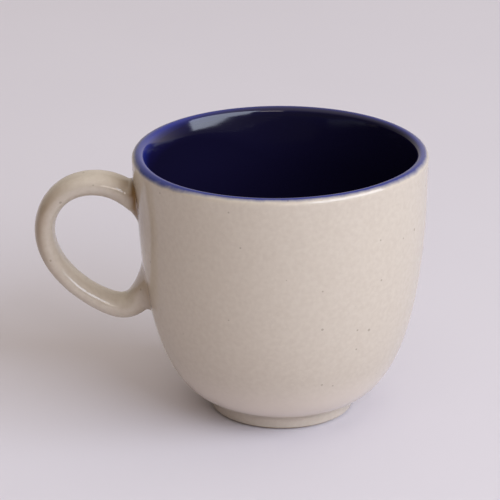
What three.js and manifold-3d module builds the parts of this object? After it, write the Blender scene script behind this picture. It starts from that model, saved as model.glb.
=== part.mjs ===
// Small stoneware coffee cup: a thrown bowl on a foot ring, with a pulled loop handle luted to its side.
// A cobalt glaze lines the inside and laps over the lip, and a cream glaze coats the outside.
// Millimetres, +Z up. The handle points along -X, and the cup stands on z = 0.
import * as THREE from "three";
import { mergeVertices } from "three/addons/utils/BufferGeometryUtils.js";
import Module from "manifold-3d";

const wasm = await Module();
wasm.setup();

// Bowl, measured over the glaze
const RIM_RADIUS = 32.5;
const HEIGHT = 60;
const LIP_THICKNESS = 2.9;
const BELLY_THICKNESS = 3.4;
const FLOOR_THICKNESS = 3.8;
const GLAZE = 0.4;
const WALL_LEAN = THREE.MathUtils.degToRad(1.8); // how far the wall leans out of upright at the rim
const BELLY_SLOPE = THREE.MathUtils.degToRad(17.5); // rise of the underside where it leaves the foot
const BELLY_PULL = 15.3; // how far the underside runs out before it turns up
const WALL_PULL = 17.9; // how far the wall runs down before it turns in
const CORNER_START = 0.5; // place along the wall's curve where the inside starts to round into the floor

// Foot ring
const FOOT_RADIUS = 15.9;
const FOOT_HEIGHT = 3.3;
const FOOT_SPREAD = 0.7; // how much wider the ring is at the bowl than at the table
const FOOT_WIDTH = 3.2;
const FOOT_EDGE = 0.5; // bevel on both edges of the standing face
const BARE_EDGE = 0.8; // height of unglazed clay above the table

// Handle, placed by drops below the rim and by distances out from the rim's radius
const HANDLE_REACH = 20.2;
const WIDEST_DROP = 18.4;
const APEX_OUT = 9;
const APEX_DROP = 7.4;
const LOWEST_OUT = 3.3;
const LOWEST_DROP = 36.4;
const UPPER_ROOT_DROP = 11.1;
const UPPER_ROOT_RISE = THREE.MathUtils.degToRad(39); // the loop climbs away from the wall at this angle
const LOWER_ROOT_DROP = 32.6;
const LOWER_ROOT_FALL = THREE.MathUtils.degToRad(44); // and drops away from it at this one
const UPPER_ROOT_PULL = 3.2; // the pulls say how far the line runs straight on before it bends
const APEX_PULL = 3.8;
const SHOULDER_PULL = 7.4;
const WIDEST_RISE_PULL = 5.3;
const WIDEST_FALL_PULL = 10.4;
const LOWEST_PULL = 4.3;
const LOWER_BEND_PULL = 3;
const LOWER_ROOT_PULL = 2.5;
const WAIST_PLACE = 0.7; // share of the loop's length, from the top, where it is thinnest
const UPPER_THICKNESS = 5.4;
const WAIST_THICKNESS = 4.4;
const LOWER_THICKNESS = 6.3;
const UPPER_WIDTH = 9;
const WAIST_WIDTH = 7.8;
const LOWER_WIDTH = 9;
const HANDLE_SQUARENESS = 2.3; // exponent of the oval section: 2 is an ellipse

// Slip joints at the two ends of the handle
const JOINT_LENGTH = 3;
const JOINT_FLARE = 0.25; // share by which the section has spread when it meets the wall
const CLEARANCE = 0.3; // between a piece and the one that it was cut to

// Facets
const TURN_STEPS = 48;
const WALL_STEPS = 12;
const INSIDE_STEPS = 6;
const LIP_STEPS = 6;
const FLOOR_STEPS = 5;
const HANDLE_STEPS = 26;
const JOINT_STEPS = 4;
const SECTION_SIDES = 18;

// Finishes
const BARE_STONEWARE = { color: 0xc9b394, roughness: 0.85, metalness: 0 };
const CREAM_GLAZE = { color: 0xd8cec0, roughness: 0.15, metalness: 0 };
const COBALT_GLAZE = { color: 0x120f52, roughness: 0.1, metalness: 0 };

// Profiles lie in the half plane of (distance from the axis, height).

// The outside of the bowl, from the foot ring's joint up to where the lip starts to round.
function outsideCurve() {
  const lip = LIP_THICKNESS / 2;
  const joint = new THREE.Vector2(FOOT_RADIUS + FOOT_SPREAD, FOOT_HEIGHT);
  const rim = new THREE.Vector2(RIM_RADIUS, HEIGHT - lip * (1 + Math.sin(WALL_LEAN)));
  const belly = new THREE.Vector2(Math.cos(BELLY_SLOPE), Math.sin(BELLY_SLOPE));
  const lean = new THREE.Vector2(Math.sin(WALL_LEAN), Math.cos(WALL_LEAN));
  return new THREE.CubicBezierCurve(
    joint,
    joint.clone().addScaledVector(belly, BELLY_PULL),
    rim.clone().addScaledVector(lean, -WALL_PULL),
    rim,
  );
}

// Unit vector out of the clay, square to a curve that runs up the outside.
function outwards(curve, t) {
  const along = curve.getTangent(t);
  return new THREE.Vector2(along.y, -along.x);
}

// A point on the inside of the wall, straight through the clay from place t on the outside.
function insidePoint(curve, t) {
  const thickness = THREE.MathUtils.lerp(BELLY_THICKNESS, LIP_THICKNESS, t);
  return curve.getPoint(t).addScaledVector(outwards(curve, t), -thickness);
}

// The lip: a half circle from the outside of the wall over to the inside.
function lipPoints(curve) {
  const out = outwards(curve, 1);
  const up = curve.getTangent(1);
  const radius = LIP_THICKNESS / 2;
  const centre = curve.getPoint(1).addScaledVector(out, -radius);
  return Array.from({ length: LIP_STEPS - 1 }, (_, i) => {
    const angle = (Math.PI * (i + 1)) / LIP_STEPS;
    const across = radius * Math.cos(angle);
    const above = radius * Math.sin(angle);
    return centre.clone().addScaledVector(out, across).addScaledVector(up, above);
  });
}

// The inside corner: a curve that leaves the wall along its slope and runs out flat on the floor.
function cornerPoints(curve, floorHeight) {
  const start = insidePoint(curve, CORNER_START);
  const slope = curve.getTangent(CORNER_START);
  const run = (start.y - floorHeight) / slope.y;
  const knee = start.clone().addScaledVector(slope, -run);
  const end = new THREE.Vector2(Math.max(knee.x - run, 0), floorHeight);
  return new THREE.QuadraticBezierCurve(start, knee, end).getPoints(FLOOR_STEPS).slice(1);
}

// Each point of an open profile moved into the clay by the glaze's thickness.
function withoutGlaze(points) {
  return points.map((point, i) => {
    const before = points[Math.max(i - 1, 0)];
    const after = points[Math.min(i + 1, points.length - 1)];
    const along = after.clone().sub(before).normalize();
    const onAxis = i === points.length - 1;
    const into = onAxis ? new THREE.Vector2(0, -1) : new THREE.Vector2(-along.y, along.x);
    return point.clone().addScaledVector(into, GLAZE);
  });
}

// The bowl's glazed surface in one run: up the outside, over the lip, down the inside and to the axis.
function bowlSurface() {
  const curve = outsideCurve();
  const outside = curve.getPoints(WALL_STEPS);
  const floorHeight = FOOT_HEIGHT + FLOOR_THICKNESS;
  const inside = Array.from({ length: INSIDE_STEPS + 1 }, (_, i) =>
    insidePoint(curve, THREE.MathUtils.lerp(1, CORNER_START, i / INSIDE_STEPS)),
  );
  const corner = cornerPoints(curve, floorHeight);
  const centre = new THREE.Vector2(0, floorHeight);
  return [...outside, ...lipPoints(curve), ...inside, ...corner, centre];
}

// Turns a profile about the Z axis. It runs anticlockwise round the clay.
function turned(profile) {
  return new THREE.LatheGeometry(profile, TURN_STEPS).rotateX(Math.PI / 2);
}

const ring = (points) => turned([...points, points[0]]);

// Distance of the bowl's outside from the axis at a height, by halving the curve.
function wallRadiusAt(height) {
  const curve = outsideCurve();
  let low = 0;
  let high = 1;
  while (high - low > 1e-6) {
    const middle = (low + high) / 2;
    if (curve.getPoint(middle).y < height) low = middle;
    else high = middle;
  }
  return curve.getPoint(low).x;
}

// One bend of the handle's line between two points, with the pull at each of them.
function bend(from, pullFrom, to, pullTo) {
  return new THREE.CubicBezierCurve(from, from.clone().add(pullFrom), to.clone().add(pullTo), to);
}

// The handle's centre line in the same half plane, from the upper root to the lower one.
function handleLine() {
  const vector = (out, up) => new THREE.Vector2(out, up);
  const upperHeight = HEIGHT - UPPER_ROOT_DROP;
  const lowerHeight = HEIGHT - LOWER_ROOT_DROP;
  const upperRoot = vector(wallRadiusAt(upperHeight), upperHeight);
  const apex = vector(RIM_RADIUS + APEX_OUT, HEIGHT - APEX_DROP);
  const widest = vector(RIM_RADIUS + HANDLE_REACH, HEIGHT - WIDEST_DROP);
  const lowest = vector(RIM_RADIUS + LOWEST_OUT, HEIGHT - LOWEST_DROP);
  const lowerRoot = vector(wallRadiusAt(lowerHeight), lowerHeight);
  const rise = vector(Math.cos(UPPER_ROOT_RISE), Math.sin(UPPER_ROOT_RISE));
  const fall = vector(Math.cos(LOWER_ROOT_FALL), -Math.sin(LOWER_ROOT_FALL));
  const line = new THREE.CurvePath();
  line.add(bend(upperRoot, rise.multiplyScalar(UPPER_ROOT_PULL), apex, vector(-APEX_PULL, 0)));
  line.add(bend(apex, vector(SHOULDER_PULL, 0), widest, vector(0, WIDEST_RISE_PULL)));
  line.add(bend(widest, vector(0, -WIDEST_FALL_PULL), lowest, vector(LOWEST_PULL, 0)));
  line.add(bend(lowest, vector(-LOWER_BEND_PULL, 0), lowerRoot, fall.multiplyScalar(LOWER_ROOT_PULL)));
  return line;
}

// A size along the loop. It is least at the waist, and grows as the square of the distance from there.
function waisted(share, upper, waist, lower) {
  const above = share < WAIST_PLACE;
  const away = above ? 1 - share / WAIST_PLACE : (share - WAIST_PLACE) / (1 - WAIST_PLACE);
  return waist + ((above ? upper : lower) - waist) * away * away;
}

// A ring of points round the handle at a distance along its line, grown or shrunk all round.
// Before the line's start and past its end the handle runs straight on, into the wall.
function handleSection(line, distance, grow, spread = 1) {
  const length = line.getLength();
  const share = THREE.MathUtils.clamp(distance / length, 0, 1);
  const along = line.getTangentAt(share);
  const centre = line.getPointAt(share).addScaledVector(along, distance - share * length);
  const square = new THREE.Vector2(-along.y, along.x);
  const thickness = waisted(share, UPPER_THICKNESS, WAIST_THICKNESS, LOWER_THICKNESS);
  const width = waisted(share, UPPER_WIDTH, WAIST_WIDTH, LOWER_WIDTH);
  const rounded = (v) => Math.sign(v) * Math.abs(v) ** (2 / HANDLE_SQUARENESS);
  return Array.from({ length: SECTION_SIDES }, (_, i) => {
    const angle = (2 * Math.PI * i) / SECTION_SIDES;
    const inPlane = ((thickness * spread) / 2 + grow) * rounded(Math.cos(angle));
    const sideways = ((width * spread) / 2 + grow) * rounded(Math.sin(angle));
    const out = centre.clone().addScaledVector(square, inPlane);
    return new THREE.Vector3(-out.x, sideways, out.y);
  });
}

// Triangles between two rings of points, which start at the given places in a list of points.
function band(from, to, sides) {
  return Array.from({ length: sides }, (_, i) => {
    const j = (i + 1) % sides;
    return [from + i, from + j, to + j, from + i, to + j, to + i];
  }).flat();
}

// Triangles that join each ring of a run to the next. The run starts at a place in the list of points.
function bands(start, count, sides) {
  const first = (r) => start + r * sides;
  return Array.from({ length: count - 1 }, (_, r) => band(first(r), first(r + 1), sides)).flat();
}

function indexed(rings, index) {
  const positions = rings.flat().flatMap((point) => [point.x, point.y, point.z]);
  const geometry = new THREE.BufferGeometry();
  geometry.setAttribute("position", new THREE.Float32BufferAttribute(positions, 3));
  return geometry.setIndex(index);
}

// A solid through a run of rings, with a flat cap on both ends.
function loft(rings) {
  const sides = rings[0].length;
  const last = (rings.length - 1) * sides;
  const corners = Array.from({ length: sides - 2 }, (_, i) => i + 1);
  const firstCap = corners.flatMap((i) => [0, i + 1, i]);
  const lastCap = corners.flatMap((i) => [last, last + i, last + i + 1]);
  return indexed(rings, [...bands(0, rings.length, sides), ...firstCap, ...lastCap]);
}

// The space between two runs of rings, one inside the other. Reversed triangles face inwards.
function sleeve(over, under) {
  const sides = over[0].length;
  const second = over.length * sides;
  const last = (over.length - 1) * sides;
  return indexed(
    [...over, ...under],
    [
      ...bands(0, over.length, sides),
      ...bands(second, under.length, sides).reverse(),
      ...band(second, 0, sides),
      ...band(last, second + last, sides),
    ],
  );
}

// Even steps from one distance along the handle to another.
const steps = (from, to, count) =>
  Array.from({ length: count + 1 }, (_, i) => THREE.MathUtils.lerp(from, to, i / count));

// Rings round the loop between its two slip joints, grown or shrunk all round.
function loopRings(line, grow) {
  const places = steps(JOINT_LENGTH, line.getLength() - JOINT_LENGTH, HANDLE_STEPS);
  return places.map((place) => handleSection(line, place, grow));
}

// A slip joint before it is cut to the wall. The handle's section spreads as it nears the wall, and then
// runs on so far that all of its slanted end is past the wall's face.
// End is 0 at the upper root and 1 at the lower one.
function jointBlank(line, end, grow) {
  const length = line.getLength();
  const depth = Math.max(UPPER_WIDTH, LOWER_WIDTH);
  const places = [...steps(JOINT_LENGTH, 0, JOINT_STEPS), -depth];
  const rings = places.map((place) => {
    const near = Math.min(1 - place / JOINT_LENGTH, 1);
    const distance = end === 0 ? place : length - place;
    return handleSection(line, distance, grow, 1 + JOINT_FLARE * near * near);
  });
  return loft(end === 0 ? rings.reverse() : rings);
}

// Boolean work on closed geometries.
function solidOf(geometry) {
  const bare = geometry.clone();
  bare.deleteAttribute("normal");
  bare.deleteAttribute("uv");
  const merged = mergeVertices(bare);
  return new wasm.Manifold(
    new wasm.Mesh({
      numProp: 3,
      vertProperties: new Float32Array(merged.attributes.position.array),
      triVerts: new Uint32Array(merged.index.array),
    }),
  );
}

function cut(geometry, ...cutters) {
  const left = cutters.reduce((solid, cutter) => solid.subtract(solidOf(cutter)), solidOf(geometry));
  const mesh = left.getMesh();
  const result = new THREE.BufferGeometry();
  result.setAttribute("position", new THREE.BufferAttribute(mesh.vertProperties, 3));
  return result.setIndex(new THREE.BufferAttribute(mesh.triVerts, 1));
}

// Pieces

const surface = bowlSurface();
const clay = withoutGlaze(surface);
const lapEnd = WALL_STEPS; // the place in the profile, on the lip's shoulder, where the two glazes meet
const base = clay[0].y;
const line = handleLine();

function bowlGeometry() {
  return turned([new THREE.Vector2(0, base), ...clay]);
}

function insideGlazeGeometry() {
  return turned([...clay.slice(lapEnd).reverse(), ...surface.slice(lapEnd)]);
}

function outsideGlazeGeometry() {
  const coat = ring([...surface.slice(0, lapEnd + 1), ...clay.slice(0, lapEnd + 1).reverse()]);
  return cut(coat, jointBlank(line, 0, CLEARANCE), jointBlank(line, 1, CLEARANCE));
}

// The foot's outer side, from the table to the bowl, at a height. Bare clay is inside the glaze.
function footRadiusAt(height, glaze) {
  return FOOT_RADIUS + (FOOT_SPREAD * height) / FOOT_HEIGHT - glaze;
}

function footRingGeometry() {
  const inner = FOOT_RADIUS - FOOT_WIDTH;
  return ring([
    new THREE.Vector2(inner + FOOT_EDGE, 0),
    new THREE.Vector2(FOOT_RADIUS - GLAZE - FOOT_EDGE, 0),
    new THREE.Vector2(footRadiusAt(FOOT_EDGE, GLAZE), FOOT_EDGE),
    new THREE.Vector2(footRadiusAt(FOOT_HEIGHT, GLAZE), base),
    new THREE.Vector2(inner - FOOT_SPREAD, base),
    new THREE.Vector2(inner, FOOT_EDGE),
  ]);
}

function footGlazeGeometry() {
  return ring([
    new THREE.Vector2(footRadiusAt(BARE_EDGE, GLAZE), BARE_EDGE),
    new THREE.Vector2(footRadiusAt(BARE_EDGE, 0), BARE_EDGE),
    surface[0],
    clay[0],
    new THREE.Vector2(footRadiusAt(FOOT_HEIGHT, GLAZE), base),
  ]);
}

// The outside of the clay, filled to the axis and grown by the clearance, which cuts a joint to the wall.
function wallCutter() {
  const gap = new THREE.Vector2(CLEARANCE, 0);
  const outside = clay.slice(0, lapEnd + 1).map((point) => point.clone().add(gap));
  const bottom = [new THREE.Vector2(0, 0), new THREE.Vector2(outside[0].x, 0)];
  return turned([...bottom, ...outside, new THREE.Vector2(0, HEIGHT)]);
}

function jointGeometry(end) {
  return cut(jointBlank(line, end, 0), wallCutter());
}

function piece(name, geometry, finish) {
  const mesh = new THREE.Mesh(geometry, new THREE.MeshStandardMaterial(finish));
  mesh.name = name;
  return mesh;
}

const cup = new THREE.Group();
cup.add(
  piece("bowl", bowlGeometry(), BARE_STONEWARE),
  piece("foot_ring", footRingGeometry(), BARE_STONEWARE),
  piece("handle", loft(loopRings(line, -GLAZE)), BARE_STONEWARE),
  piece("upper_slip_joint", jointGeometry(0), CREAM_GLAZE),
  piece("lower_slip_joint", jointGeometry(1), CREAM_GLAZE),
  piece("inside_glaze", insideGlazeGeometry(), COBALT_GLAZE),
  piece("outside_glaze", outsideGlazeGeometry(), CREAM_GLAZE),
  piece("handle_glaze", sleeve(loopRings(line, 0), loopRings(line, -GLAZE)), CREAM_GLAZE),
  piece("foot_glaze", footGlazeGeometry(), CREAM_GLAZE),
);

// The origin lies under the middle of the whole cup, handle included.
const bounds = new THREE.Box3().setFromObject(cup);
cup.position.x = -(bounds.min.x + bounds.max.x) / 2;

const part = new THREE.Group();
part.add(cup);

export default part;
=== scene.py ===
"""Looks of a small hand-made stoneware cup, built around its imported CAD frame.

The shapes are worked out in millimetres about the bowl's own axis, as arrays of points, and are then
moved into the frame, which is in metres with the handle towards -X and the table at z = 0.
"""
import logging
from collections.abc import Callable
from dataclasses import dataclass
from enum import Enum
from math import atan2, cos, pi, radians, sin
from typing import Any

import bpy
import numpy as np
from mathutils import Matrix, Vector


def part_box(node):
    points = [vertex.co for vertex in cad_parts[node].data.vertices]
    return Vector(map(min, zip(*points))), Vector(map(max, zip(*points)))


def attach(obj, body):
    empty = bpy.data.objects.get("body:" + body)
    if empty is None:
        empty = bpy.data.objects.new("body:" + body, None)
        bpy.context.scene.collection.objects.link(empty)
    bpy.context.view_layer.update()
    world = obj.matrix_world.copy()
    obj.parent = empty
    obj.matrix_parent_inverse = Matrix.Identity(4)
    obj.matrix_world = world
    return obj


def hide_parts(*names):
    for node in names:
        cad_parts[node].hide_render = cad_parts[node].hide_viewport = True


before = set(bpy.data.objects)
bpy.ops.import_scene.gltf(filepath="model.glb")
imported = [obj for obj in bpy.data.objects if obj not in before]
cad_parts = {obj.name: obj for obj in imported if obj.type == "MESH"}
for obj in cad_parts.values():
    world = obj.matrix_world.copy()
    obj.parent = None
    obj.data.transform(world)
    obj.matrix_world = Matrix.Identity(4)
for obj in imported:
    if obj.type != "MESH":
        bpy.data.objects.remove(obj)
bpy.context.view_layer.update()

LOG = logging.getLogger("cup")
Array = np.ndarray
Numbers = Array | float
Material = bpy.types.Material
Socket = bpy.types.NodeSocket
Tree = bpy.types.NodeTree
Pair = tuple[float, float]
Triple = tuple[float, float, float]
Oval = tuple[float, float, float, float]
MM = 0.001
BODY = "root"
SHARP_EDGE = radians(45)
FULL_TURN = 2 * pi
FINE = 400
HALVINGS = 40


# Small tools for shapes

def ease(values: Numbers, low: float, high: float) -> Numbers:
    """Smooth step: 0 below low, 1 above high, and 3s^2 - 2s^3 of the share s between them."""
    share = np.clip((values - low) / (high - low), 0, 1)
    return share * share * (3 - 2 * share)


def bell(values: Array, spread: float) -> Array:
    """Bell curve exp(-(v / spread)^2): 1 at zero, and falling to both sides."""
    return np.exp(-(values / spread) ** 2)


def turn_from(angle: Array, place: float) -> Array:
    """Turn from a place to each angle, the short way round: from -pi to pi."""
    return (angle - place + pi) % FULL_TURN - pi


def circle(count: int) -> Array:
    """Angles of that many equal steps round a circle."""
    return np.linspace(0, FULL_TURN, count, endpoint=False)


def heading(angle: float) -> Array:
    """Unit vector at an angle to the first axis."""
    return np.array([cos(angle), sin(angle)])


def unit(vectors: Array) -> Array:
    """Vectors along the last axis, each divided by its own length."""
    return vectors / np.linalg.norm(vectors, axis=-1, keepdims=True)


def bezier(corners: Array, share: Numbers) -> Array:
    """Points of a Bezier curve: repeated mixing of neighbouring corner points by the share t.

    Args:
        corners: corner points, one row each; any further axes are carried along.
        share: places along the curve, or one place, from 0 to 1.

    Returns:
        One row of points for each share.
    """
    layers = [np.asarray(corner, float)[None] for corner in corners]
    weight = np.reshape(share, (-1,) + (1,) * (layers[0].ndim - 1))
    while len(layers) > 1:
        layers = [a * (1 - weight) + b * weight for a, b in zip(layers, layers[1:])]
    return layers[0]


def run_length(points: Array) -> Array:
    """Distance along a line of points from its first point."""
    return np.concatenate([[0.0], np.cumsum(np.linalg.norm(np.diff(points, axis=0), axis=1))])


def moved_square(profile: Array, distance: float) -> Array:
    """Moves each point of an open profile by a distance to the left of its own direction."""
    along = unit(np.gradient(profile, axis=0))
    return profile + distance * np.stack([-along[:, 1], along[:, 0]], axis=1)


def crossing(under: Array, clear: Array, gap: Callable[[Array], Array]) -> Array:
    """Where each gap turns from negative to positive, by halving.

    Args:
        under: numbers at which the gap is negative.
        clear: numbers at which it is positive.
        gap: works the gap out at any numbers between them.

    Returns:
        The numbers at which the gap is closed.
    """
    for _ in range(HALVINGS):
        middle = (under + clear) / 2
        out = gap(middle) > 0
        under, clear = np.where(out, under, middle), np.where(out, middle, clear)
    return (under + clear) / 2


def add_object(name: str, data: bpy.types.ID) -> bpy.types.Object:
    """Adds an object to the scene.

    Args:
        name: the object's name.
        data: its mesh, lamp or camera.

    Returns:
        The new object, at the origin.
    """
    made = bpy.data.objects.new(name, data)
    bpy.context.scene.collection.objects.link(made)
    return made


def build_piece(name: str, lattice: Array, values: dict[str, Array] | None = None,
                poles: tuple[Array, Array] | None = None) -> bpy.types.Object:
    """Makes a closed mesh of a lattice of points that closes on itself across its columns.

    Rows either end in one point each, the poles, or close on themselves as columns do.

    Args:
        name: the piece's name.
        lattice: points in metres, as rows by columns by 3.
        values: named numbers for each point of the lattice, as rows by columns.
        poles: the first and last point, where the rows are open.

    Returns:
        The new object, at the origin.
    """
    rows, columns, _ = lattice.shape
    row = np.arange(rows if poles is None else rows - 1)[:, None] * columns
    column = np.arange(columns)[None, :]
    ahead = (column + 1) % columns
    above = (row + columns) % (rows * columns)
    corners = (row + column, row + ahead, above + ahead, above + column)
    groups = [np.stack([corner.ravel() for corner in corners], axis=1)]
    points = lattice.reshape(-1, 3)
    if poles is not None:
        first = np.full(columns, len(points))
        ring, ring_ahead = column.ravel(), ahead.ravel()
        top = (rows - 1) * columns
        groups.append(np.stack([first, ring_ahead, ring], axis=1))
        groups.append(np.stack([top + ring, top + ring_ahead, first + 1], axis=1))
        points = np.concatenate([points, np.stack(poles)])
    mesh = bpy.data.meshes.new(name)
    mesh.from_pydata(points.tolist(), [], [face for group in groups for face in group.tolist()])
    for label, numbers in (values or {}).items():
        filled = numbers.ravel()
        if poles is not None:
            filled = np.concatenate([filled, [numbers[0].mean(), numbers[-1].mean()]])
        layer = mesh.attributes.new(label, "FLOAT", "POINT")
        layer.data.foreach_set("value", filled.astype(np.float32))
    mesh.shade_smooth()
    mesh.set_sharp_from_angle(angle=SHARP_EDGE)
    mesh.update()
    return add_object(name, mesh)


def dress(piece: bpy.types.Object, material: Material, slot: str, *nodes: str) -> None:
    """Gives a piece its finish, fixes it to the cup and hides the CAD nodes that it stands for.

    Args:
        piece: the new piece.
        material: its finish.
        slot: the record's material slot; not used.
        nodes: CAD nodes that the piece replaces.
    """
    piece.data.materials.append(material)
    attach(piece, BODY)
    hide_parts(*nodes)
    LOG.info("%s: %d faces, stands for %s", piece.name, len(piece.data.polygons), ", ".join(nodes))


# Small tools for materials

def to_linear(code: str) -> tuple[float, float, float, float]:
    """Turns an sRGB hex colour into a linear one, by the sRGB standard's curve.

    Args:
        code: a hash sign and six hex digits.

    Returns:
        Linear red, green and blue, and alpha 1.
    """
    shares = np.array([int(code[i:i + 2], 16) for i in (1, 3, 5)]) / 255
    linear = np.where(shares <= 0.04045, shares / 12.92, ((shares + 0.055) / 1.055) ** 2.4)
    return (*linear.tolist(), 1.0)


def add_node(tree: Tree, kind: str, inputs: dict[Any, Any] | None = None,
             stops: list[tuple[float, str]] | None = None, **settings: Any) -> bpy.types.Node:
    """Adds one node with its settings, its inputs' values and the links into it.

    Args:
        tree: node tree that takes the node.
        kind: Blender's name for the node.
        inputs: for an input's name or number, its value or the output that feeds it.
        stops: place and hex colour of each stop, where the node has a colour ramp.
        settings: the node's own properties.

    Returns:
        The new node.
    """
    node = tree.nodes.new(kind)
    for name, value in settings.items():
        setattr(node, name, value)
    for key, value in (inputs or {}).items():
        if isinstance(value, Socket):
            tree.links.new(value, node.inputs[key])
        else:
            node.inputs[key].default_value = value
    for i, (place, code) in enumerate(stops or []):
        ramp = node.color_ramp.elements
        stop = ramp[i] if i < 2 else ramp.new(place)
        stop.position = place
        stop.color = to_linear(code)
    return node


def object_place(tree: Tree) -> Socket:
    """Each point's place in the frame, in metres."""
    return add_node(tree, "ShaderNodeTexCoord").outputs["Object"]


def attribute(tree: Tree, name: str) -> Socket:
    """The number of that name which each point carries."""
    return add_node(tree, "ShaderNodeAttribute", attribute_name=name).outputs["Fac"]


def noise(tree: Tree, per_metre: float, detail: float = 2.0) -> Socket:
    """Soft noise from 0 to 1, with this many lumps to the metre and this many finer layers."""
    inputs = {"Vector": object_place(tree), "Scale": per_metre, "Detail": detail}
    return add_node(tree, "ShaderNodeTexNoise", inputs).outputs["Fac"]


def maths(tree: Tree, operation: str, *values: Socket | float) -> Socket:
    """One sum of two or three numbers or outputs, by Blender's name for the operation."""
    return add_node(tree, "ShaderNodeMath", dict(enumerate(values)), operation=operation).outputs[0]


def remap(tree: Tree, value: Socket, source: Pair, target: Pair = (0.0, 1.0), smooth: bool = False) -> Socket:
    """Carries a number from one range over to another, and holds it at both ends.

    Args:
        tree: node tree that takes the node.
        value: the number.
        source: the range that it comes from.
        target: the range that it goes to.
        smooth: whether it is eased at both ends, by a smooth step.

    Returns:
        The number in its new range.
    """
    inputs = {"Value": value, 1: source[0], 2: source[1], 3: target[0], 4: target[1]}
    kind = "SMOOTHSTEP" if smooth else "LINEAR"
    return add_node(tree, "ShaderNodeMapRange", inputs, interpolation_type=kind).outputs[0]


def mix(tree: Tree, share: Socket, first: Socket | str, second: Socket | str) -> Socket:
    """Mixes two colours by a share s: the first times 1 - s, and the second times s.

    Args:
        tree: node tree that takes the node.
        share: 0 for the first colour and 1 for the second.
        first: hex colour or output.
        second: hex colour or output.

    Returns:
        The mixed colour.
    """
    ends = [to_linear(colour) if isinstance(colour, str) else colour for colour in (first, second)]
    inputs = {"Factor": share, "A": ends[0], "B": ends[1]}
    return add_node(tree, "ShaderNodeMix", inputs, data_type="RGBA").outputs["Result"]


def bump(tree: Tree, height: Socket, distance: float, under: Socket | None = None) -> Socket:
    """Raises a surface by a number from 0 to 1 times a distance.

    Args:
        tree: node tree that takes the node.
        height: the number.
        distance: the height in metres that 1 stands for.
        under: an earlier bump that this one lies on.

    Returns:
        The surface's new normal.
    """
    inputs = {"Height": height, "Distance": distance, "Strength": 1.0}
    if under is not None:
        inputs["Normal"] = under
    return add_node(tree, "ShaderNodeBump", inputs).outputs[0]


# Finishes

@dataclass(frozen=True)
class Finish:
    """A procedural material. Each kind works out what its surface shader takes."""

    name: str

    def inputs(self, tree: Tree) -> dict[str, Any]:
        """Adds the kind's own nodes and gives the surface shader's inputs."""
        raise NotImplementedError

    def build(self) -> Material:
        """Makes the node material.

        Returns:
            The new material.
        """
        material = bpy.data.materials.new(self.name)
        material.use_nodes = True
        tree = material.node_tree
        tree.nodes.clear()
        surface = add_node(tree, "ShaderNodeBsdfPrincipled", self.inputs(tree))
        add_node(tree, "ShaderNodeOutputMaterial", {"Surface": surface.outputs[0]})
        return material


@dataclass(frozen=True)
class CobaltLip:
    """The cobalt glaze's colour across the lip, by the distance from the crest that each point carries.

    The glaze is nearly black where it lies thick on the inside, and a clearer blue where it thins over
    the lip. Its outer edge is ragged and feathers into the cream. Distances in mm, positive outside.
    """

    ends: Pair = (-6.0, 4.0)
    runs_per_metre: float = 330.0
    runs_reach: float = 1.4
    grain_per_metre: float = 2000.0
    grain_reach: float = 0.5
    ragged_range: Pair = (0.0, 1.2)
    ragged_shares: Pair = (0.12, 0.45)
    stops: tuple[tuple[float, str], ...] = (
        (-5.5, "#120f27"),
        (-2.9, "#141137"),
        (-2.0, "#181b55"),
        (-1.2, "#1f2878"),
        (-0.3, "#283380"),
        (0.4, "#252f7a"),
        (1.0, "#34477c"),
    )

    def build(self, tree: Tree) -> tuple[Socket, Socket]:
        """Adds the nodes: a colour ramp over the distance, which noise makes ragged on the outside.

        Args:
            tree: node tree that takes the nodes.

        Returns:
            The colour, and the ragged distance from the crest in mm.
        """
        lap = attribute(tree, "lap")
        # runs of molten glaze about 3 mm wide, and a grain of 0.5 mm that feathers the edge
        runs = noise(tree, self.runs_per_metre)
        grain = noise(tree, self.grain_per_metre, 1.0)
        wander = maths(tree, "MULTIPLY_ADD", runs, self.runs_reach, -self.runs_reach / 2)
        feather = maths(tree, "MULTIPLY_ADD", grain, self.grain_reach, -self.grain_reach / 2)
        both = maths(tree, "ADD", wander, feather)
        outer = remap(tree, lap, self.ragged_range, self.ragged_shares)
        moved = maths(tree, "MULTIPLY_ADD", both, outer, lap)
        low, high = self.ends
        stops = [((distance - low) / (high - low), code) for distance, code in self.stops]
        ramp = add_node(tree, "ShaderNodeValToRGB", {"Fac": remap(tree, moved, self.ends)}, stops)
        return ramp.outputs["Color"], moved


@dataclass(frozen=True)
class CobaltGlaze(Finish):
    """Cobalt stoneware glaze, poured in and fired: a deep blue glass, glossy, darker where it lies thick."""

    name: str = "cobalt_stoneware_glaze_poured"
    roughness: float = 0.11
    ior: float = 1.49
    swells_per_metre: float = 140.0
    swell_height: float = 0.00004

    def inputs(self, tree: Tree) -> dict[str, Any]:
        """The colour across the lip, over a surface that the melt left uneven.

        Args:
            tree: node tree that takes the nodes.

        Returns:
            The surface shader's inputs.
        """
        colour, _ = CobaltLip().build(tree)
        # the melt leaves soft swells about 7 mm apart, which bend the reflections
        swell = bump(tree, noise(tree, self.swells_per_metre), self.swell_height)
        return {"Base Color": colour, "Roughness": self.roughness, "IOR": self.ior, "Normal": swell}


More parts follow.
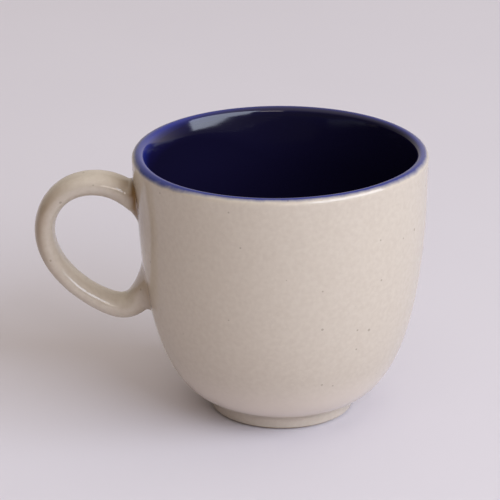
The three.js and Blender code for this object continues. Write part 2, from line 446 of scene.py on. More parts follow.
@dataclass(frozen=True)
class CreamGlaze(Finish):
    """Cream stoneware glaze, dipped and fired: pale and glossy, honey brown in pools, with iron specks.

    Lengths in metres. The specks' reach and edge are shares of a cell. The coat is paler low on the
    belly as painted light, and the pools' honey brown also paints shade in the crease over the foot and on
    the handle.
    """

    name: str = "cream_stoneware_glaze_dipped"
    cream: str = "#cabead"
    thin: str = "#c4b7a6"
    # paler cream of the painted bounce light low on the belly
    thick: str = "#dccfc0"
    # honey brown of the pooled glaze at the handle's roots, also painting shade in the foot's crease and on
    # the handle
    honey: str = "#7a5a30"
    speck: str = "#6e6152"
    roughness: float = 0.1
    ior: float = 1.54
    mottle_per_metre: float = 950.0
    mottle_range: Pair = (0.3, 0.7)
    # heights over which the painted bounce light starts over the foot and fades out up the belly
    over_foot: Pair = (0.0036, 0.0046)
    bounce_range: Pair = (0.005, 0.017)
    cells_per_metre: float = 400.0
    speck_rarity: float = 5.0
    speck_reach: float = 0.16
    speck_edge: float = 0.04
    speck_depth: float = 0.42
    cobalt_edge: Pair = (0.5, 1.3)
    swells_per_metre: float = 125.0
    swell_height: float = 0.00004
    peel_per_metre: float = 1000.0
    peel_height: float = 0.000003

    def coat_colour(self, tree: Tree) -> Socket:
        """The plain coat's colour: mottled, and paler low on the belly.

        Args:
            tree: node tree that takes the nodes.

        Returns:
            The colour.
        """
        # a faint mottle from 1 mm down to 0.3 mm, where the coat lies thicker or thinner
        cloudy = remap(tree, noise(tree, self.mottle_per_metre), self.mottle_range)
        cream = mix(tree, cloudy, self.cream, self.thin)
        # painted light: the coat is paler on the lowest 12 mm of the belly over the foot ring, where light
        # bounces up from the table
        height = add_node(tree, "ShaderNodeSeparateXYZ", {0: object_place(tree)}).outputs["Z"]
        over_foot = remap(tree, height, self.over_foot)
        low = remap(tree, height, self.bounce_range, (1.0, 0.0), smooth=True)
        return mix(tree, maths(tree, "MULTIPLY", over_foot, low), cream, self.thick)

    def speck_share(self, tree: Tree) -> Socket:
        """How dark each point is with iron specks, one to a cell, of up to 0.4 mm radius.

        Args:
            tree: node tree that takes the nodes.

        Returns:
            The share of the specks' colour, from 0 to their depth.
        """
        # cells of about 2.5 mm, each with a random number, of which a high power leaves few specks large
        inputs = {"Vector": object_place(tree), "Scale": self.cells_per_metre}
        cells = add_node(tree, "ShaderNodeTexVoronoi", inputs)
        chance = add_node(tree, "ShaderNodeSeparateColor", {0: cells.outputs["Color"]}).outputs[0]
        size = maths(tree, "POWER", chance, self.speck_rarity)
        reach = maths(tree, "MULTIPLY", size, self.speck_reach)
        inside = maths(tree, "SUBTRACT", reach, cells.outputs["Distance"])
        return remap(tree, inside, (0.0, self.speck_edge), (0.0, self.speck_depth))

    def inputs(self, tree: Tree) -> dict[str, Any]:
        """The coat with its specks, pools and painted shade, and the cobalt's edge on it, over swells and
        orange peel.

        Args:
            tree: node tree that takes the nodes.

        Returns:
            The surface shader's inputs.
        """
        specked = mix(tree, self.speck_share(tree), self.coat_colour(tree), self.speck)
        # the pool values are pooled glaze at the handle's roots, and painted shade in the foot's crease and
        # on the handle's outer bend
        pooled = mix(tree, attribute(tree, "pool"), specked, self.honey)
        blue, ragged = CobaltLip().build(tree)
        colour = mix(tree, remap(tree, ragged, self.cobalt_edge), blue, pooled)
        # soft swells about 8 mm apart and an orange peel of about 1 mm
        swell = bump(tree, noise(tree, self.swells_per_metre), self.swell_height)
        peel = bump(tree, noise(tree, self.peel_per_metre), self.peel_height, swell)
        return {"Base Color": colour, "Roughness": self.roughness, "IOR": self.ior, "Normal": peel}


@dataclass(frozen=True)
class BareStoneware(Finish):
    """Buff stoneware, turned and fired bare: dry and matt, with grog and fine rings from the turning tool."""

    name: str = "buff_stoneware_turned"
    axis_x: float = 0.0
    light: str = "#c9b394"
    dark: str = "#a98f70"
    grog: str = "#7d6449"
    roughness: float = 0.85
    ring_scale: float = 350.0
    ring_wander: float = 1.5
    ring_height: float = 0.00006
    clouds_per_metre: float = 200.0
    grains_per_metre: float = 2200.0
    grain_range: Pair = (0.62, 0.72)
    grain_depth: float = 0.6
    grain_height: float = 0.00005

    def inputs(self, tree: Tree) -> dict[str, Any]:
        """A cloudy body flecked with grog, over the grains and the rings about the bowl's axis.

        Args:
            tree: node tree that takes the nodes.

        Returns:
            The surface shader's inputs.
        """
        inputs = {"Vector": object_place(tree), "Location": (-self.axis_x, 0.0, 0.0)}
        about_axis = add_node(tree, "ShaderNodeMapping", inputs).outputs[0]
        # one turn of the tool every 0.9 mm
        inputs = {"Vector": about_axis, "Scale": self.ring_scale, "Distortion": self.ring_wander}
        wave = add_node(tree, "ShaderNodeTexWave", inputs, wave_type="RINGS", rings_direction="Z")
        # grog grains of 0.3 to 0.6 mm in a body with clouds of about 5 mm
        body = mix(tree, noise(tree, self.clouds_per_metre, 4.0), self.light, self.dark)
        grains = noise(tree, self.grains_per_metre)
        fleck = remap(tree, grains, self.grain_range, (0.0, self.grain_depth))
        colour = mix(tree, fleck, body, self.grog)
        rough = bump(tree, grains, self.grain_height, bump(tree, wave.outputs["Fac"], self.ring_height))
        return {"Base Color": colour, "Roughness": self.roughness, "Normal": rough}


@dataclass(frozen=True)
class TablePaper(Finish):
    """Matt pale lilac-grey table paper: even, with faint clouds."""

    name: str = "table_paper_matt"
    light: str = "#dbd6db"
    shade: str = "#d7d2d7"
    roughness: float = 0.9
    specular: float = 0.1
    clouds_per_metre: float = 12.0

    def inputs(self, tree: Tree) -> dict[str, Any]:
        """Faint clouds on a surface with hardly any shine."""
        colour = mix(tree, noise(tree, self.clouds_per_metre), self.light, self.shade)
        return {"Base Color": colour, "Roughness": self.roughness, "Specular IOR Level": self.specular}


# Pieces

@dataclass(frozen=True)
class LipRoll:
    """How the lip rolls in: an arc over the crest, then a curve down to a depth. In mm and radians."""

    radius: float
    turn: float
    drop: float


@dataclass(frozen=True)
class RootForm:
    """How a root of the handle runs onto the wall, in mm.

    The fillet is the length that its curve takes from the strap, and the flare how far the curve runs out
    over the wall. The pool is how brown the glaze lies there, from 0 to 1.
    """

    fillet: Triple
    flare: Triple
    pool: float

    @staticmethod
    def round_section(sizes: Triple, angle: Array) -> Array:
        """A size outside the loop and inside it, mixed by a cosine, and what the two sides take more."""
        outer, inner, more = sizes
        return outer + (inner - outer) * ((1 - np.cos(angle)) / 2) ** 2 + more * np.sin(angle) ** 2


@dataclass(frozen=True)
class Bend:
    """A point of the handle's line: out from the rim and below it, or on the wall where no out is given.

    The turn is the line's direction there, and the pulls are how far the curves before and after it hold
    to that direction. In mm and radians.
    """

    out: float | None
    drop: float
    turn: float
    pull_before: float = 0.0
    pull_after: float = 0.0


@dataclass
class ThrownBowl:
    """The thrown bowl with its foot ring and glaze coats. Lengths in mm, angles in radians."""

    axis_x: float
    rim_radius: float
    height: float
    # wall and lip
    lip_radius: float = 1.45
    full_roll: LipRoll = LipRoll(1.3, radians(62), 4.6)
    tight_roll: LipRoll = LipRoll(1.3, radians(80), 12.0)
    full_place: float = radians(165)
    full_ease: Pair = (0.2, 0.9)
    roll_search: float = 0.6
    wall_thickness: float = 3.85
    belly_thickness: float = 3.4
    floor_height: float = 7.1
    floor_ring: float = 0.25
    wall_lean: float = radians(1.8)
    belly_slope: float = radians(17.5)
    belly_pull: float = 15.3
    wall_pull: float = 17.9
    corner_start: float = 0.5
    # foot ring and the recess inside it
    foot_radius: float = 15.9
    foot_height: float = 3.3
    foot_spread: float = 0.7
    foot_width: float = 3.2
    foot_edge: float = 0.5
    foot_bevel: float = 0.1
    foot_tenon: float = 0.36
    foot_overlap: float = 0.2
    recess_ring: float = 0.3
    recess_dome: float = 0.55
    turning_depth: float = 0.04
    turning_pitch: float = 1.7
    clay_gap: float = 0.05
    # glaze coats: each is a little thinner than its space, and stays clear of the clay
    glaze: float = 0.4
    coat: float = 0.38
    lap_split: float = 0.5
    bare_edge: float = 0.5
    edge_bead: tuple[Pair, ...] = ((-0.28, 0.0), (-0.06, 0.02), (0.03, 0.28), (0.06, 0.4))
    crease: float = 0.9
    # painted shade: honey brown in the crease over the foot
    crease_shade: float = 0.12
    crease_fade: float = 0.7
    root_fade: float = 3.2
    # how the hand-made rim stands high or low and out of round
    rim_lift: float = 0.15
    rim_tilt: float = 0.44
    rim_grow: float = 0.19
    rim_pull: float = 0.38
    wave_from: float = 43.0
    round_to: float = 56.0
    front_ease: Pair = (-0.1, 0.7)
    # how the cobalt ran over the lip, and painted shade and light on the lip and the inside
    runs: tuple[Pair, ...] = ((0.9, radians(-152)), (0.45, radians(-26)))
    run_spread: float = radians(25)
    run_ease: Pair = (0.2, 1.6)
    # painted shade: the lip is darker round its far side, away from the camera
    far_shade: float = 1.3
    far_place: float = radians(90)
    far_spread: float = radians(60)
    far_ease: Pair = (0.4, 1.4)
    # painted shade and light: the inside is darker towards the right and back and paler towards the left and
    # front
    shaded_place: float = radians(30)
    inner_stretch: float = 1.35
    shade_swing: float = 0.85
    # rows of points
    columns: int = 192
    lip_rows: int = 40
    roll_rows: int = 26
    wall_rows: int = 60
    corner_rows: int = 36
    floor_rows: int = 6
    belly_rows: int = 120
    side_rows: int = 8
    crease_rows: int = 12
    recess_rows: int = 40
    search_rows: int = 2000

    def outside_corners(self) -> Array:
        """The outside's curve, from the foot's joint to the lip's shoulder.

        Returns:
            Its four corner points, one row each, as distance from the axis and height.
        """
        joint = np.array([self.foot_radius + self.foot_spread, self.foot_height])
        rim = np.array([self.rim_radius, self.height - self.lip_radius * (1 + sin(self.wall_lean))])
        belly = joint + self.belly_pull * heading(self.belly_slope)
        wall = rim - self.wall_pull * heading(pi / 2 - self.wall_lean)
        return np.stack([joint, belly, wall, rim])

    def outside(self, share: Numbers) -> Array:
        """Points of the finished outside: a cubic Bezier curve from the foot's joint up to the lip."""
        return bezier(self.outside_corners(), share)

    def slope(self, share: Numbers) -> Array:
        """Unit vectors along the outside's curve: the Bezier curve of the steps between its corners."""
        return unit(bezier(np.diff(self.outside_corners(), axis=0), share))

    def inside(self, share: Numbers) -> Array:
        """The finished inside: straight through the wall from the outside, thicker evenly up the wall.

        Args:
            share: places along the outside's curve, or one place, from 0 to 1.

        Returns:
            One row for each place, as distance from the axis and height.
        """
        along = self.slope(share)
        thickness = self.belly_thickness + (self.wall_thickness - self.belly_thickness) * share
        into = np.stack([-along[:, 1], along[:, 0]], axis=1)
        return self.outside(share) + np.reshape(thickness, (-1, 1)) * into

    def wall_radius(self, height: Numbers, angle: Numbers = pi) -> Numbers:
        """Distance of the finished outside from the axis at each height, towards each angle."""
        line = self.outside(np.linspace(0, 1, self.search_rows))
        return np.interp(height, line[:, 1], line[:, 0]) + self.spread_at(angle, height)

    def lip_outer(self) -> tuple[Array, Array]:
        """The lip's outer half: about a quarter circle, from the wall up to the crest.

        Returns:
            Its points up to the place where the two glazes meet, and those from there on.
        """
        shoulder, up = self.outside(1.0)[0], self.slope(1.0)[0]
        out = np.array([up[1], -up[0]])
        angle = np.linspace(-atan2(up[0], up[1]), pi / 2, self.lip_rows)
        around = np.stack([np.cos(angle), np.sin(angle)], axis=1)
        points = shoulder + self.lip_radius * (around - out)
        to_crest = run_length(points[::-1])[::-1]
        meeting = int(np.argmax(to_crest <= self.lap_split))
        return points[:meeting + 1], points[meeting:]

    def lip_inner(self, roll: LipRoll) -> tuple[Array, float]:
        """The lip's inner half: part of a circle over the crest, then a long quadratic curve to the wall.

        Args:
            roll: how the lip rolls in.

        Returns:
            The points, and the share of the wall's curve at which they end.
        """
        shares = np.linspace(self.roll_search, 1, FINE)
        end = float(np.interp(self.height - roll.drop, self.inside(shares)[:, 1], shares))
        foot, up = self.inside(end)[0], self.slope(end)[0]
        half = self.roll_rows // 2
        turn = np.linspace(0, roll.turn, half)
        crest = self.lip_outer()[1][-1]
        over = crest + roll.radius * np.stack([-np.sin(turn), np.cos(turn) - 1], axis=1)
        down = -heading(roll.turn)
        reach = np.linalg.solve(np.stack([down, -up], axis=1), foot - over[-1])[0]
        corners = np.stack([over[-1], over[-1] + reach * down, foot])
        fall = bezier(corners, np.linspace(0, 1, self.roll_rows - half + 1))
        return np.concatenate([over, fall[1:]]), end

    def inside_run(self, roll: LipRoll) -> Array:
        """The finished inside: over the crest, down the wall, round a quadratic corner and along the floor.

        Args:
            roll: how the lip rolls in.

        Returns:
            Points from the glazes' joint to the axis, as distance from the axis and height.
        """
        inner, top = self.lip_inner(roll)
        wall = self.inside(np.linspace(top, self.corner_start, self.wall_rows))
        start = wall[-1]
        slope = self.slope(self.corner_start)[0]
        run = (start[1] - self.floor_height) / slope[1]
        knee = start - run * slope
        end = np.array([knee[0] - run, self.floor_height])
        corner = bezier(np.stack([start, knee, end]), np.linspace(0, 1, self.corner_rows))
        floor = np.linspace(end, [self.floor_ring, self.floor_height], self.floor_rows)
        return np.concatenate([self.lip_outer()[1], inner[1:], wall[1:], corner[1:], floor[1:]])

    def foot_side(self, height: float, inset: float) -> Pair:
        """A point on the foot ring's outer side, moved in by the inset."""
        return self.foot_radius + self.foot_spread * height / self.foot_height - inset, height

    def outside_run(self) -> Array:
        """The finished outside: the glaze's bead, the foot's side, a quadratic crease, the belly and the lip.

        Returns:
            Points from the glaze's edge on the foot up to the glazes' joint.
        """
        belly = self.outside(np.linspace(0, 1, self.belly_rows))
        joint = belly[0]
        start = int(np.searchsorted(run_length(belly), self.crease))
        low = np.array(self.foot_side(self.bare_edge, 0))
        bead = low + np.array(self.edge_bead)
        straight = np.linspace(bead[-1], joint + unit(low - joint) * self.crease, self.side_rows)
        corners = np.stack([straight[-1], joint, belly[start]])
        fillet = bezier(corners, np.linspace(0, 1, self.crease_rows))
        lip = self.lip_outer()[0]
        return np.concatenate([bead[:-1], straight, fillet[1:-1], belly[start:], lip[1:]])

    def lift_at(self, angle: Array, height: Array) -> Array:
        """How far the hand-made rim stands high or low: a sine round its front half, eased in up the wall.

        Args:
            angle: angles about the axis.
            height: heights on the wall.

        Returns:
            The lift at each height and angle.
        """
        round_front = angle + pi / 2
        tilt = self.rim_tilt * np.sin(round_front) * ease(np.cos(round_front), *self.front_ease)
        return (self.rim_lift + tilt) * ease(height, self.wave_from, self.height)

    def spread_at(self, angle: Numbers, height: Numbers) -> Numbers:
        """How far the rim is out of round: wider towards the handle by a cosine, eased in up the wall."""
        return (self.rim_grow - self.rim_pull * np.cos(angle)) * ease(height, self.wave_from, self.round_to)

    def turned(self, profile: Array) -> Array:
        """Turns a profile about the axis: (r cos a, r sin a, z), with the rim's waves.

        Args:
            profile: points as distance from the axis and height.

        Returns:
            A lattice in the frame's metres, as points by columns by 3.
        """
        angle = circle(self.columns)[None, :]
        height = profile[:, 1:]
        radius = profile[:, :1] + self.spread_at(angle, height)
        x = self.axis_x + radius * np.cos(angle)
        y = radius * np.sin(angle)
        z = height + self.lift_at(angle, height)
        return np.stack([x, y, z], axis=2) * MM

    def rolls(self) -> list[tuple[LipRoll, Array]]:
        """The lip's two rolls and their shares round the bowl: an eased cosine, and the rest."""
        full = ease(np.cos(circle(self.columns) - self.full_place), *self.full_ease)[None, :]
        return [(self.full_roll, full), (self.tight_roll, 1 - full)]

    def axis_point(self, height: float) -> Array:
        """A point on the axis, in the frame's metres."""
        return np.array([self.axis_x, 0, height]) * MM

    def run_over(self, lap: Array) -> Array:
        """The distance from the crest round the bowl, as the glaze lies there.

        On the outside it is less where the cobalt ran further down, by bell curves. On the inside it is
        stretched by a cosine, so that the coat is darker towards the right and back, away from the window,
        and paler towards the left and front, which faces it: painted shade and painted light. Round the far
        side it is less by one more bell curve: painted shade that darkens the far lip.

        Args:
            lap: distance from the crest for each point of a profile, for each column or as one column.

        Returns:
            The distance for each point and column.
        """
        angle = circle(self.columns)[None, :]
        further = np.zeros((1, self.columns))
        for depth, place in self.runs:
            further = further + depth * bell(turn_from(angle, place), self.run_spread)
        # painted shade and light: darkest at the right and back of the inside, away from the window
        thick = self.inner_stretch + self.shade_swing * np.cos(angle - self.shaded_place)
        # painted shade: darker round the far side of the lip
        far = self.far_shade * bell(turn_from(angle, self.far_place), self.far_spread)
        outside = lap - further * ease(lap, *self.run_ease)
        return np.where(lap < 0, lap * thick, outside) - far * (1 - ease(lap, *self.far_ease))

    def build_lining(self, material: Material) -> None:
        """The cobalt coat: the inside and the lip, closed by the same run under it.

        Each point carries its distance along the surface from the lip's crest, positive on the outside.

        Args:
            material: its finish.
        """
        lattice, run = np.zeros(3), np.zeros(1)
        under = self.floor_height - self.glaze
        for roll, share in self.rolls():
            front = self.inside_run(roll)
            back = moved_square(front, self.coat)[::-1]
            back[0] = [self.floor_ring, under]
            reach = run_length(front)
            lap = reach[len(self.lip_outer()[1]) - 1] - reach
            run = run + share * np.concatenate([lap[::-1], lap])[:, None]
            lattice = lattice + share[..., None] * self.turned(np.concatenate([back, front]))
        ends = (self.axis_point(under), self.axis_point(self.floor_height))
        piece = build_piece("cobalt_lining", lattice, {"lap": self.run_over(run)}, ends)
        dress(piece, material, "cobalt_glaze", "inside_glaze")

    def pool_at(self, profile: Array, roots: list[Oval]) -> Array:
        """How far the cream glaze pools near the handle's roots, and the painted shade in the crease over the
        foot.

        Args:
            profile: the outside's points.
            roots: height, half height and half width of each handle root on the wall, and its share.

        Returns:
            Shares from 0 to 1, as points by columns.
        """
        around = profile[:, :1] * turn_from(circle(self.columns), pi)[None, :]
        height = profile[:, 1:]
        # painted shade in the crease over the foot, as honey brown
        pool = self.crease_shade * np.exp(-np.abs(height - self.foot_height) / self.crease_fade)
        for middle, tall, wide, share in roots:
            beyond = np.maximum(np.hypot(around / wide, (height - middle) / tall) - 1, 0)
            pool = np.maximum(pool, share * np.exp(-beyond * min(tall, wide) / self.root_fade))
        return np.clip(pool, 0, 1)

    def build_coat(self, material: Material, roots: list[Oval]) -> None:
        """The cream coat: the outside from the foot to the lip, closed by the same run under it.

        Args:
            material: its finish.
            roots: height, half height and half width of each handle root on the wall, and its share.
        """
        front = self.outside_run()
        profile = np.concatenate([front, moved_square(front, self.coat)[::-1]])
        length = run_length(front)
        lap = length[-1] - length + self.lap_split
        run = np.concatenate([lap, lap[::-1]])[:, None]
        # the pool values carry the roots' pooled glaze and the painted shade in the crease over the foot
        pool = self.pool_at(front, roots)
        values = {"lap": self.run_over(run), "pool": np.concatenate([pool, pool[::-1]])}
        piece = build_piece("cream_coat", self.turned(profile), values)
        dress(piece, material, "cream_glaze", "outside_glaze", "foot_glaze")

    def build_clay(self, material: Material) -> None:
        """The stoneware under the glazes, and the bare recess under it: a parabola with a sine for the rings.

        Args:
            material: its finish.
        """
        inner = self.foot_radius - self.foot_width - self.foot_spread
        base = self.foot_height + self.foot_tenon
        reach = np.linspace(self.recess_ring, inner + self.foot_overlap, self.recess_rows)
        dome = self.recess_dome * (1 - (reach / inner) ** 2)
        rings = self.turning_depth * np.sin(FULL_TURN * reach / self.turning_pitch)
        recess = np.stack([reach, base + np.clip(dome, 0, None) + rings], axis=1)
        outer = self.foot_side(self.foot_height, self.foot_edge)[0]
        ledge = np.array([[inner + 2 * self.foot_overlap, base], [outer, base]])
        outside = moved_square(self.outside_run(), self.glaze)
        outside = outside[outside[:, 1] > base + self.clay_gap]
        lattice = np.zeros(3)
        for roll, share in self.rolls():
            inside = moved_square(self.inside_run(roll), self.glaze)
            profile = np.concatenate([recess, ledge, outside, inside[1:-1]])
            lattice = lattice + share[..., None] * self.turned(profile)
        ends = (self.axis_point(recess[0, 1]), self.axis_point(self.floor_height - self.glaze))
        piece = build_piece("thrown_clay", lattice, None, ends)
        dress(piece, material, "stoneware", "bowl")

    def build_foot(self, material: Material) -> None:
        """The bare foot ring, standing on the table, its two lower edges softened by quadratic curves.

        Args:
            material: its finish.
        """
        inner = self.foot_radius - self.foot_width
        base = self.foot_height + self.foot_tenon
        corners = np.array([
            (inner - self.foot_spread, base),
            (inner, 0.0),
            (self.foot_side(0.0, self.glaze)[0] - self.foot_bevel, 0.0),
            self.foot_side(base, self.glaze),
        ])
        runs = [corners[:1]]
        for before, corner, after in zip(corners, corners[1:], corners[2:]):
            first, last = [corner + self.foot_edge * unit(end - corner) for end in (before, after)]
            runs.append(bezier(np.stack([first, corner, last]), np.linspace(0, 1, self.side_rows)))
        profile = np.concatenate([*runs, corners[-1:]])
        top = np.linspace(profile[-1], profile[0], self.floor_rows)[1:-1]
        piece = build_piece("foot_ring_bare", self.turned(np.concatenate([profile, top])))
        dress(piece, material, "stoneware", "foot_ring")


class HandleEnd(Enum):
    """The handle's two roots on the wall, with their forms."""

    UPPER = RootForm((1.2, 1.6, 1.6), (1.3, 1.4, 1.3), 1.0)
    LOWER = RootForm((1.4, 6.5, 0.3), (1.4, 5.2, 0.4), 0.42)


@dataclass
class PulledHandle:
    """The pulled loop handle: an oval strap along a bent line, with flared roots. In mm and radians."""

    bowl: ThrownBowl
    # the line, from the upper root over the top and down to the lower root
    bends: tuple[Bend, ...] = (
        Bend(None, 11.1, radians(39), pull_after=3.2),
        Bend(9.0, 7.4, 0.0, 3.8, 7.4),
        Bend(20.2, 18.4, radians(-90), 5.3, 10.4),
        Bend(3.3, 36.4, radians(180), 4.3, 3.0),
        Bend(None, 32.6, radians(136), pull_before=2.5),
    )
    # the strap's section at the upper root, the waist and the lower root
    waist_place: float = 0.7
    thickness: Triple = (5.4, 4.4, 6.3)
    width: Triple = (9.0, 7.8, 9.0)
    squareness: float = 2.3
    # the roots
    fillet_fullness: float = 0.45
    tangent_step: float = 0.05
    edge_sink: float = 0.02
    hidden_back: float = 0.2
    hidden_sink: float = 0.3
    root_search: float = 7.0
    # the brown of the pooled glaze on the strap, and a streak of painted shade on the loop's outer bend
    pool_from: float = 0.4
    strap_pool: float = 0.09
    strap_fade: float = 0.7
    # painted shade: a honey-brown streak on the front of the loop's outer bend, which faces away from the
    # window
    shade_streak_depth: float = 0.55
    streak_place: float = 0.42
    streak_length: float = 0.17
    streak_angle: float = radians(-60)
    streak_width: float = radians(38)
    no_cobalt: float = 20.0
    # rows of points
    end_zone: float = 8.0
    sides: int = 80
    loop_rows: int = 120
    end_rows: int = 14
    fillet_rows: int = 12

    def bend_place(self, bend: Bend) -> Array:
        """Where a bend stands.

        Args:
            bend: a point of the line.

        Returns:
            Its distance from the axis and its height.
        """
        height = self.bowl.height - bend.drop
        radius = self.bowl.wall_radius(height) if bend.out is None else self.bowl.rim_radius + bend.out
        return np.array([radius, height])

    def line(self) -> tuple[Array, Array, Array]:
        """The centre line: a cubic Bezier curve from each bend to the next, down to the lower root.

        Returns:
            Fine points as (distance from the axis, height), their unit tangents, and their distance along.
        """
        runs = []
        for bend, ahead in zip(self.bends, self.bends[1:]):
            start, end = self.bend_place(bend), self.bend_place(ahead)
            leave = start + bend.pull_after * heading(bend.turn)
            arrive = end - ahead.pull_before * heading(ahead.turn)
            runs.append(bezier(np.stack([start, leave, arrive, end]), np.linspace(0, 1, FINE))[:-1])
        points = np.concatenate([*runs, end[None]])
        return points, unit(np.gradient(points, axis=0)), run_length(points)

    def waisted(self, share: Array, sizes: Triple) -> Array:
        """A size along the loop: least at the waist, growing as the square of the distance from there.

        Args:
            share: places along the line, from 0 to 1.
            sizes: the size at the upper root, the waist and the lower root.

        Returns:
            The size at each place.
        """
        upper, waist, lower = sizes
        away = np.interp(share, [0, self.waist_place, 1], [1, 0, 1])
        return waist + (np.where(share < self.waist_place, upper, lower) - waist) * away ** 2

    def skin(self, end: HandleEnd, away: Array, angle: Array) -> Array:
        """Points of the strap's skin, an oval |x|^n + |y|^n = 1 square to the line.

        Args:
            end: the root that distances are measured from.
            away: distance along the line from that root; the strap runs straight on past it.
            angle: angle round the section, of the same shape as away.

        Returns:
            Points about the bowl's axis, in mm, with the handle towards -X.
        """
        points, tangents, places = self.line()
        length = places[-1]
        distance = away if end is HandleEnd.UPPER else length - away
        inside = np.clip(distance, 0, length)
        centre = np.stack([np.interp(inside, places, points[:, i]) for i in (0, 1)], axis=-1)
        along = np.stack([np.interp(inside, places, tangents[:, i]) for i in (0, 1)], axis=-1)
        centre = centre + along * (distance - inside)[..., None]
        offsets = []
        for sizes, wave in ((self.thickness, np.cos(angle)), (self.width, np.sin(angle))):
            oval = np.sign(wave) * np.abs(wave) ** (2 / self.squareness)
            offsets.append(self.waisted(inside / length, sizes) / 2 * oval)
        thick, wide = offsets
        radius = centre[..., 0] - along[..., 1] * thick
        height = centre[..., 1] + along[..., 0] * thick
        return np.stack([-radius, wide, height], axis=-1)

    def clear_of_wall(self, points: Array) -> Array:
        """Distance of points from the wall, straight out from the axis."""
        flat = np.hypot(points[..., 0], points[..., 1])
        return flat - self.bowl.wall_radius(points[..., 2], np.arctan2(points[..., 1], points[..., 0]))

    def onto_wall(self, points: Array, sink: float) -> Array:
        """Moves points straight towards the axis, or away from it, onto the wall and a little under it.

        Args:
            points: points about the bowl's axis.
            sink: how far under the wall they go.

        Returns:
            The moved points, at the same heights.
        """
        flat = np.hypot(points[..., 0], points[..., 1])
        scale = (1 - (self.clear_of_wall(points) + sink) / flat)[..., None]
        return np.concatenate([points[..., :2] * scale, points[..., 2:]], axis=-1)

    def root(self, end: HandleEnd) -> tuple[Array, Array]:
        """One root: a cubic curve for each line of the skin, from the strap to the crease and onto the wall.

        Args:
            end: which root.

        Returns:
            Points as rows by sides, from under the wall out to the strap, and where the strap starts.
        """
        angle = circle(self.sides)
        form = end.value
        fillet = form.round_section(form.fillet, angle)
        flare = form.round_section(form.flare, angle)
        far = np.full(self.sides, self.root_search)
        start = fillet + crossing(-far, far, lambda away: self.clear_of_wall(self.skin(end, away, angle)))
        strap = self.skin(end, start, angle)
        towards = unit(strap - self.skin(end, start + self.tangent_step, angle))
        reach = crossing(2 * far, 0 * far, lambda away: self.clear_of_wall(strap + away[:, None] * towards))
        crease = strap + reach[:, None] * towards
        outward = crease - crease.mean(axis=0)
        normal = unit(crease * [1, 1, 0])
        outward = unit(outward - np.sum(outward * normal, axis=1, keepdims=True) * normal)
        edge = self.onto_wall(crease + flare[:, None] * outward, self.edge_sink)
        full = self.fillet_fullness
        corners = np.stack([edge, edge + full * (crease - edge), strap + full * (crease - strap), strap])
        curve = bezier(corners, np.linspace(0, 1, self.fillet_rows))
        hidden = self.onto_wall(edge - self.hidden_back * outward, self.hidden_sink)
        return np.concatenate([hidden[None], curve]), start

    def root_oval(self, end: HandleEnd) -> Oval:
        """The root's outline on the wall.

        Args:
            end: which root.

        Returns:
            Its height, half height and half width, and how brown its glaze lies.
        """
        edge = self.root(end)[0][1]
        low, high = edge.min(axis=0), edge.max(axis=0)
        return (low[2] + high[2]) / 2, (high[2] - low[2]) / 2, (high[1] - low[1]) / 2, end.value.pool

    def end_of(self, end: HandleEnd) -> tuple[Array, Array]:
        """One end of the handle, from its root under the wall to the plain loop.

        The pool is full on the root, less towards the strap by a smooth step, and dies away as exp(-d).

        Args:
            end: which root.

        Returns:
            Points as rows by sides, and how far the glaze pools there, from 0 to 1.
        """
        curve, start = self.root(end)
        share = np.linspace(0, 1, self.end_rows)[1:-1, None]
        away = start * (1 - share) + self.end_zone * share
        strap = self.skin(end, *np.broadcast_arrays(away, circle(self.sides)))
        towards_strap = ease(np.linspace(0, 1, len(curve)), self.pool_from, 1)[:, None]
        near = np.repeat(1 - (1 - self.strap_pool) * towards_strap, self.sides, axis=1)
        fading = self.strap_pool * np.exp(-(away - start) / self.strap_fade)
        return np.concatenate([curve, strap]), end.value.pool * np.concatenate([near, fading])

    def lattice(self) -> tuple[Array, Array]:
        """The whole handle, with a streak of painted shade on the loop: bell curves along it and round it.

        Returns:
            Points as rows by sides from the upper root to the lower one, and how far the glaze pools there,
            with the painted shade of the streak.
        """
        length = self.line()[2][-1]
        angle = circle(self.sides)[None, :]
        away = np.linspace(self.end_zone, length - self.end_zone, self.loop_rows)[:, None]
        loop = self.skin(HandleEnd.UPPER, *np.broadcast_arrays(away, angle))
        # painted shade: a darker streak on the front of the loop's outer bend
        along = bell(away / length - self.streak_place, self.streak_length)
        streak = self.shade_streak_depth * along * bell(turn_from(angle, self.streak_angle), self.streak_width)
        upper, upper_pool = self.end_of(HandleEnd.UPPER)
        lower, lower_pool = self.end_of(HandleEnd.LOWER)
        points = np.concatenate([upper, loop, lower[::-1]])
        return points, np.concatenate([upper_pool, streak, lower_pool[::-1]])

    def build(self, material: Material) -> None:
        """The whole glazed handle as one closed mesh, its two ends hidden in the wall.

        Args:
            material: its finish.
        """
        points, pool = self.lattice()
        points = (points + [self.bowl.axis_x, 0, 0]) * MM
        poles = (points[0].mean(axis=0), points[-1].mean(axis=0))
        # the pool values carry the roots' pooled glaze and the painted shade of the streak
        values = {"pool": pool, "lap": np.full(pool.shape, self.no_cobalt)}
        piece = build_piece("glazed_handle", points, values, poles)
        nodes = ("handle_glaze", "upper_slip_joint", "lower_slip_joint", "handle")
        dress(piece, material, "cream_glaze", *nodes)


# Studio

@dataclass(frozen=True)
class SoftBox:
    """One soft lamp. Lengths in metres, power in watts."""

    name: str
    place: Triple
    width: float
    height: float
    power: float
    colour: str
    aim: Triple = (0.01, 0.0, 0.03)

    def build(self) -> None:
        """Makes the lamp and points it at the cup."""
        lamp = bpy.data.lights.new(self.name, "AREA")
        lamp.shape = "RECTANGLE"
        lamp.size, lamp.size_y = self.width, self.height
        lamp.energy = self.power
        lamp.color = to_linear(self.colour)[:3]
        turn = (Vector(self.aim) - Vector(self.place)).to_track_quat("-Z", "Y")
        add_object(self.name, lamp).matrix_world = Matrix.Translation(self.place) @ turn.to_matrix().to_4x4()


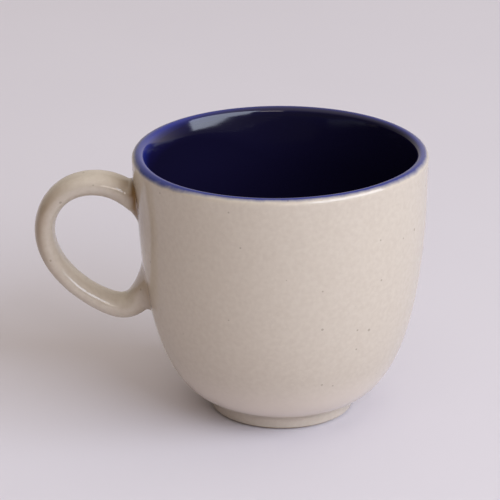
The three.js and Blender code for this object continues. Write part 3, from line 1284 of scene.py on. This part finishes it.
@dataclass
class Studio:
    """The table, the light and the camera. Lengths in metres, angles in radians, the lens in mm."""

    axis_x: float
    table_half: float = 4.0
    surround_colour: str = "#fff5eb"
    surround_low: float = 0.085
    surround_back: float = 0.57
    surround_top: float = 0.78
    surround_swing: float = 0.7
    back_range: Pair = (-0.2, 0.9)
    top_range: Pair = (0.3, 1.0)
    low_range: Pair = (0.3, 0.7)
    lamps: tuple[SoftBox, ...] = (
        SoftBox("window_from_right", (1.15, -0.80, 0.85), 1.8, 0.95, 32.3, "#e2ebfd"),
        SoftBox("window_in_front", (0.17, -1.22, 0.66), 0.42, 0.24, 1.85, "#fff1ea"),
    )
    camera_back: float = 0.62437
    camera_height: float = 0.27434
    camera_pitch: float = 0.3637
    camera_yaw: float = 0.0114
    camera_roll: float = -0.0035
    camera_clip: Pair = (0.01, 50.0)
    lens: float = 216.0
    sensor: float = 36.0

    def build_table(self, material: Material) -> None:
        """A wide flat table top at z = 0.

        Args:
            material: its finish.
        """
        reach = self.table_half
        corners = [(-reach, -reach, 0), (reach, -reach, 0), (reach, reach, 0), (-reach, reach, 0)]
        mesh = bpy.data.meshes.new("table_top")
        mesh.from_pydata(corners, [], [(0, 1, 2, 3)])
        mesh.materials.append(material)
        add_object("table_top", mesh)

    def build_light(self) -> None:
        """A broad window from the right, a small one in front, and a pale surround.

        The surround grows brighter overhead and low at the back, and there most to the right.
        """
        world = bpy.data.worlds.new("studio_surround")
        world.use_nodes = True
        tree = world.node_tree
        tree.nodes.clear()
        ray = add_node(tree, "ShaderNodeTexCoord").outputs["Generated"]
        axes = add_node(tree, "ShaderNodeSeparateXYZ", {0: ray}).outputs
        dark, swing = self.surround_low, self.surround_swing
        back = remap(tree, axes["Y"], self.back_range, (0.0, self.surround_back), smooth=True)
        top = remap(tree, axes["Z"], self.top_range, (dark, dark + self.surround_top), smooth=True)
        low = remap(tree, axes["Z"], self.low_range, (1.0, 0.0), smooth=True)
        side = remap(tree, axes["X"], (-1.0, 1.0), (1 - swing, 1 + swing))
        level = maths(tree, "MULTIPLY_ADD", back, maths(tree, "MULTIPLY", low, side), top)
        inputs = {"Color": to_linear(self.surround_colour), "Strength": level}
        even = add_node(tree, "ShaderNodeBackground", inputs)
        add_node(tree, "ShaderNodeOutputWorld", {"Surface": even.outputs[0]})
        bpy.context.scene.world = world
        for lamp in self.lamps:
            lamp.build()

    def build_camera(self) -> None:
        """A long lens in front of the cup, with the handle on its left, looking down on the rim."""
        yaw = Matrix.Rotation(self.camera_yaw, 4, "Z")
        pitch = Matrix.Rotation(pi / 2 - self.camera_pitch, 4, "X")
        roll = Matrix.Rotation(self.camera_roll, 4, "Z")
        place = Matrix.Translation((self.axis_x, -self.camera_back, self.camera_height))
        data = bpy.data.cameras.new("photo_camera")
        data.lens, data.sensor_width = self.lens, self.sensor
        data.clip_start, data.clip_end = self.camera_clip
        camera = add_object("photo_camera", data)
        camera.matrix_world = place @ yaw @ pitch @ roll
        bpy.context.scene.camera = camera


def main() -> None:
    """Builds the cup piece by piece, then the studio round it."""
    logging.basicConfig(level=logging.INFO, format="%(name)s: %(message)s")
    bpy.context.scene.view_settings.view_transform = "Standard"
    low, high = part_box("inside_glaze")
    axis_x = (low.x + high.x) / 2
    bowl = ThrownBowl(axis_x / MM, (high.x - low.x) / 2 / MM, high.z / MM)
    handle = PulledHandle(bowl)
    cobalt, cream = CobaltGlaze().build(), CreamGlaze().build()
    stoneware = BareStoneware(axis_x=axis_x).build()
    bowl.build_clay(stoneware)
    bowl.build_foot(stoneware)
    bowl.build_lining(cobalt)
    bowl.build_coat(cream, [handle.root_oval(HandleEnd.UPPER), handle.root_oval(HandleEnd.LOWER)])
    handle.build(cream)
    studio = Studio(axis_x)
    studio.build_table(TablePaper().build())
    studio.build_light()
    studio.build_camera()


if __name__ == "__main__":
    main()
